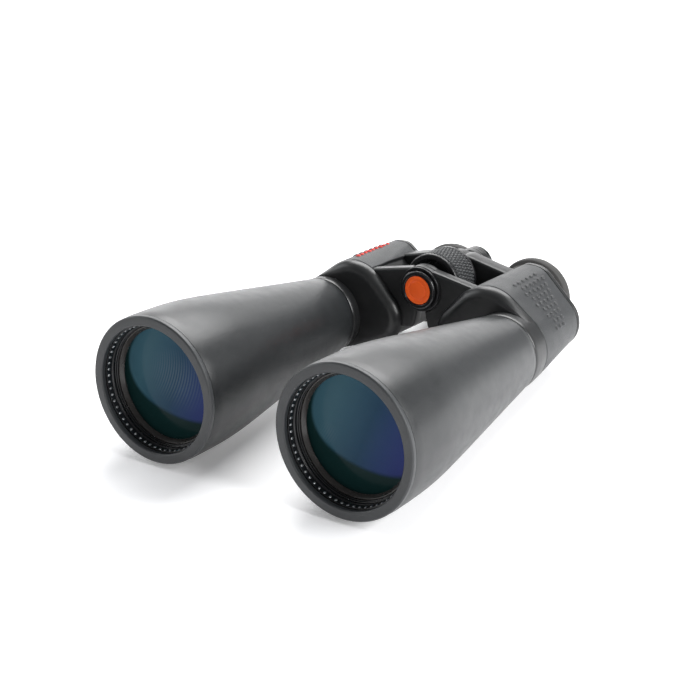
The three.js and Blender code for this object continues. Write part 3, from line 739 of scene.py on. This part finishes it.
def eyepieces(side, sx):
    x, z = EYE_X * sx, EYE_Z
    tube_body = "left_ocular" if side == "left" else "right_ocular"
    arm_body = "left_ocular" if side == "left" else "right_ocular_arm"
    arm = hinge_arm(f"{side}_bridge_arm", ARM_CIRCLES, BRIDGE_LUG, HUB_BORE, ARM, sx, sx < 0, 2.4)
    drill(arm, x, z, TUBE_BORE, ARM[0] - 3, ARM[1] + 3)
    adopt(arm, arm_body, [f"{side}_ocular_arm"])

    tube = eased([(11.6, 222.0), (13.2, 222.0), (13.2, 258.0), (11.6, 258.0)], 0.4)
    make(f"{side}_eyepiece_tube", Shape().lathe(tube, x, z, 96), [BLACK], tube_body,
         [f"{side}_ocular_tube"])

    start = ARM[1] + GAP
    end = 255.0 if side == "left" else 253.2
    node = "left_ocular_collar" if side == "left" else "dioptre_ring"
    body = "left_ocular" if side == "left" else "dioptre_ring"
    collar_r = 21.4
    outer = eased([(TUBE_BORE, start), (collar_r, start), (collar_r, end), (TUBE_BORE, end)], 0.9, False, 4)
    outer = [p for p in outer if p[0] > TUBE_BORE + 0.1]
    middle = [(collar_r, start + 1.0 + (end - start - 2.0) * k / 6) for k in range(7)]
    head = [p for p in outer if p[1] < start + 1]
    tail = [p for p in outer if p[1] > end - 1]
    count = 48 if side == "left" else 60
    shape = Shape().lathe([(TUBE_BORE, start), *head, *middle, *tail, (TUBE_BORE, end)], x, z, count * 8,
                          warp=ribbed(count, 0.5, start + 0.95, end - 0.95))
    make(f"{side}_knurled_collar", shape, [PLASTIC], body, [node])

    cup = [(TUBE_BORE, 255.3), (20.6, 255.3), (22.2, 256.4)]
    for k in range(5):  # bellows folds of the fold-down rubber
        y = 257.4 + k * 1.9
        cup += [(22.7, y), (22.7, y + 0.95), (22.15, y + 1.2), (22.15, y + 1.65)]
    cup += [(24.9, 268.4), (25.6, 270.0), (25.6, 272.6), (25.0, 275.0), (21.8, 275.0), (20.9, 271.0)]
    cup += [(19.4, 266.0), (17.6, 261.0), (TUBE_BORE, 260.0)]
    make(f"{side}_eyecup_rubber", Shape().lathe(eased(cup, 0.35, steps=3), x, z, 128), [SOFT], tube_body,
         [f"{side}_eyecup"])

    glasses = (("eye_glass", "eye_lens", 252.5, 255.0, 1.2, EYE_LENS, "coated_glass"),
               ("field_glass", "field_lens", 225.0, 227.0, 1.0, CLEAR, "clear_glass"))
    zones = [k / 10 for k in range(11)]
    for name, node, y0, y1, sag, mat, slot in glasses:
        lens = [(11.3 * f, y0 - sag * (1 - f * f)) for f in zones]
        lens += [(11.3 * f, y1 + sag * (1 - f * f)) for f in reversed(zones)]
        make(f"{side}_{name}", Shape().lathe(lens, x, z, 64, closed=False), [mat], tube_body,
             [f"{side}_{node}"])


# ---------- hinge, cap and focus drive ----------
def centre():
    def turned(name, profile, mat, body, slot, hides, seg=128, closed=True, warp=None):
        shape = Shape().lathe(profile, 0.0, HINGE_Z, seg, closed, warp=warp)
        return make(name, shape, [mat], body, hides)

    flange_y = FRONT_WEB[0] - 1.8
    face = FRONT_WEB[0] - GAP
    recess = flange_y + 0.4  # floor of the dish that the cap sits in
    axle = [(4.6, recess), (CAP_R + 0.4, recess), (CAP_R + 0.4, flange_y), (FLANGE_R, flange_y)]
    axle += [(FLANGE_R, face), (6.0, face), (6.0, 242.0), (3.4, 242.0), (3.4, 196.0), (4.6, 194.0)]
    turned("hinge_pin", eased(axle, 0.25, steps=3), BLACK, "spine", "black_metal", ["hinge_axle"])

    rear = flange_y - GAP
    front = rear - 2.2
    cap = [(0.0, front + 0.9), (9.4, front + 0.9), (9.7, front), (11.6, front), (CAP_R, front + 0.7)]
    cap += [(CAP_R, rear), (2.9, rear), (2.9, 184.0), (0.0, 184.0)]
    grips = ribbed(72, 0.22, front + 0.85, rear - 0.05)
    turned("socket_cap", eased(cap, 0.35, False), PLASTIC, "tripod_cap", "black_plastic", ["tripod_cap"],
           576, False, grips)
    low, bead = front + 0.1, front + 0.32  # plain disc with one raised ring
    badge = [(0.0, low), (5.6, low), (5.8, bead), (6.3, bead), (6.5, low), (8.8, low)]
    badge += [(9.1, front + 0.3), (9.1, front + 0.6), (0.0, front + 0.6)]
    turned("cap_disc", eased(badge, 0.08, False, 2), ORANGE, "tripod_cap", "orange_plastic",
           ["tripod_cap_inlay"], 96, False)

    rim, (w0, w1) = 2.6, WHEEL
    groove = WHEEL_R - 2.7
    wheel = [(AXLE_BORE, w0 + 2.6), (9.0, w0 + 2.6), (14.6, w0 + 1.6), (15.6, w0 + 0.2), (16.2, w0)]
    wheel += [(WHEEL_R - 0.5, w0), (WHEEL_R, w0 + 0.5), (WHEEL_R, w0 + rim - 0.2)]
    wheel += [(WHEEL_R - 0.3, w0 + rim), (groove, w0 + rim), (groove, w1 - rim), (WHEEL_R - 0.3, w1 - rim)]
    wheel += [(WHEEL_R, w1 - rim + 0.2), (WHEEL_R, w1 - 0.5), (WHEEL_R - 0.5, w1), (AXLE_BORE, w1)]
    turned("wheel_body", eased(wheel, 0.3, steps=3), BLACK, "focus_wheel", "black_metal", ["focus_wheel"])

    g0, g1 = w0 + rim + GAP, w1 - rim - GAP
    teeth, rows = 54, 44

    def saw(t):
        return abs((t % 1.0) * 2 - 1)

    def knurl(turn, y):
        """Diamonds where two sets of slanting grooves cross."""
        if y <= g0 + 0.2 or y >= g1 - 0.2:
            return -0.5
        slant = (y - g0) / 5.8
        height = min(saw(turn * teeth + slant), saw(turn * teeth - slant))
        return -0.75 + 0.9 * min(1.0, height * 2.2)

    grip = [(WHEEL_R, g0)]
    grip += [(WHEEL_R, g0 + 0.25 + (g1 - g0 - 0.5) * k / rows) for k in range(rows + 1)]
    grip += [(WHEEL_R, g1)]
    shape = Shape().lathe(grip, 0.0, HINGE_Z, teeth * 10, closed=False, warp=knurl)
    inside = [(WHEEL_R - 0.5, g0), (groove + GAP, g0), (groove + GAP, g1), (WHEEL_R - 0.5, g1)]
    shape.lathe(inside, 0.0, HINGE_Z, teeth * 10, closed=False)
    make("wheel_grip", shape, [RUBBER], "focus_wheel", ["focus_wheel_grip"], 60)

    nut_y, nut_r = REAR_WEB[1] + GAP, 10.5
    nut = [(AXLE_BORE, nut_y), (nut_r, nut_y), (nut_r, nut_y + 2.2), (nut_r - 1, nut_y + 2.8)]
    nut += [(AXLE_BORE, nut_y + 2.8)]

    def hexagon(turn, _):
        return -1.2 * abs(math.sin(3 * 2 * math.pi * turn))

    turned("pin_nut", nut, BLACK, "spine", "black_metal", ["axle_nut"], 144, warp=hexagon)

    hub = [(0.0, 246.0), (AXLE_BORE, 246.0), (AXLE_BORE, 238.0), (BRIDGE_LUG, 238.0), (BRIDGE_LUG, 242.2)]
    hub += [(8.5, 242.2), (8.5, 248.4), (0.0, 248.4)]
    turned("hub_body", eased(hub, 0.3, False), SHOULDER, "bridge", "black_paint", ["bridge_hub"],
           closed=False)
    hub_cap = [(0.0, 248.7), (HUB_BORE, 248.7), (HUB_BORE, 247.8), (BRIDGE_LUG, 247.8), (BRIDGE_LUG, 249.6)]
    hub_cap += [(10.6, 250.5), (7.6, 250.6), (6.9, 250.0), (0.0, 249.9)]
    turned("hub_cap", eased(hub_cap, 0.35, False), PLASTIC, "bridge", "black_plastic", ["bridge_cap"],
           closed=False)


for side, sx in SIDES:
    barrels(side, sx)
    housings(side, sx)
    armours(side, sx)
    covers(side, sx)
    eyepieces(side, sx)
centre()

# ---------- finishes on the CAD nodes that stay ----------
KEPT = {
    "black_metal": BLACK, "soft_rubber": SOFT, "steel": STEEL, "brass": BRASS,
    "clear_glass": CLEAR, "coated_glass": LENS, "black_paint": PAINT, "black_plastic": PLASTIC,
    "armour_rubber": RUBBER, "orange_plastic": ORANGE,
}
slots = {p["node"]: p["material_slot"] for p in frame["record"]["subparts"]}
for name, node in frame["nodes"].items():
    node.data.materials.clear()
    node.data.materials.append(KEPT[slots[name]])


# ---------- floor, light and camera ----------
def plain(name, colour, rough, glow):
    mat = bpy.data.materials.new(name)
    mat.use_nodes = True
    shader = mat.node_tree.nodes["Principled BSDF"]
    shader.inputs["Base Color"].default_value = colour + (1.0,)
    shader.inputs["Roughness"].default_value = rough
    shader.inputs["Emission Color"].default_value = (1.0, 1.0, 1.0, 1.0)
    shader.inputs["Emission Strength"].default_value = glow
    return mat


# A disc whose rim rises in a curve, so that the horizon stays pale at low angles; radius and
# height in metres.
FLOOR_SEG = 72
RINGS = ((0.0, 0.0), (3.0, 0.0), (4.5, 0.0), (5.2, 0.15), (5.8, 0.6), (6.1, 1.3), (6.2, 2.6))
floor_verts, floor_faces = [], []
for radius, height in RINGS:
    for k in range(FLOOR_SEG):
        a = math.radians(360 / FLOOR_SEG * k)
        floor_verts.append((radius * math.cos(a), radius * math.sin(a), height))
for k in range(len(RINGS) - 1):
    base = k * FLOOR_SEG
    for i in range(FLOOR_SEG):
        j = (i + 1) % FLOOR_SEG
        floor_faces.append((base + i, base + j, base + FLOOR_SEG + j, base + FLOOR_SEG + i))
floor_mesh = bpy.data.meshes.new("floor")
floor_mesh.from_pydata(floor_verts, [], floor_faces)
floor_mesh.shade_smooth()
floor_mesh.materials.append(plain("pale_floor", (0.90, 0.90, 0.91), 0.7, 0.20))
floor = bpy.data.objects.new("floor", floor_mesh)
floor.location.z = cad_box[0][2] - 0.0002
bpy.context.scene.collection.objects.link(floor)

world = bpy.data.worlds.new("studio")
bpy.context.scene.world = world
world.use_nodes = True
sky = world.node_tree.nodes["Background"]
sky.inputs["Color"].default_value = (0.95, 0.97, 1.0, 1.0)
sky.inputs["Strength"].default_value = 0.16


def softbox(name, place, target, width, height, power, colour=(1.0, 1.0, 1.0)):
    light = bpy.data.lights.new(name, "AREA")
    light.shape = "RECTANGLE"
    light.size, light.size_y = width, height
    light.energy = power
    light.color = colour
    obj = bpy.data.objects.new(name, light)
    bpy.context.scene.collection.objects.link(obj)
    obj.location = place
    obj.rotation_euler = (Vector(target) - Vector(place)).to_track_quat("-Z", "Y").to_euler()


softbox("overhead", (-0.25, 0.8, 1.2), (0.0, 0.0, 0.0), 1.5, 0.9, 34)
softbox("left_fill", (-1.4, -0.3, 0.8), (0.0, 0.0, 0.05), 0.9, 0.9, 6, (0.96, 0.98, 1.0))
softbox("right_edge", (1.5, 0.1, 0.8), (0.1, 0.0, 0.0), 1.0, 0.9, 44)
softbox("backdrop", (-1.0, 1.45, 0.37), (0.0, 0.0, 0.05), 2.2, 0.45, 9)

# The viewpoint in the optical frame: place in mm, angles in radians, lens and sensor in mm.
EYE = (492.6, -602.8, 315.1)
AZIMUTH, ELEVATION, ROLL = 0.61011, 0.34288, -0.00223
FOCAL, SENSOR = 79.375, 36
camera_data = bpy.data.cameras.new("camera")
camera_data.sensor_width = SENSOR
camera_data.lens = FOCAL
camera_data.clip_end = 50
camera = bpy.data.objects.new("camera", camera_data)
bpy.context.scene.collection.objects.link(camera)
sa, ca = math.sin(AZIMUTH), math.cos(AZIMUTH)
sb, cb = math.sin(ELEVATION), math.cos(ELEVATION)
sr, cr = math.sin(ROLL), math.cos(ROLL)
forward = Vector((-sa * cb, ca * cb, -sb))
right = Vector((ca, sa, 0))
above = right.cross(forward)
right, above = right * cr + above * sr, above * cr - right * sr
turn = TO_ROW.to_3x3() @ Matrix((right, above, -forward)).transposed()
camera.matrix_world = Matrix.Translation(row(*EYE)) @ turn.to_4x4()
bpy.context.scene.camera = camera
bpy.context.scene.view_settings.view_transform = "Standard"
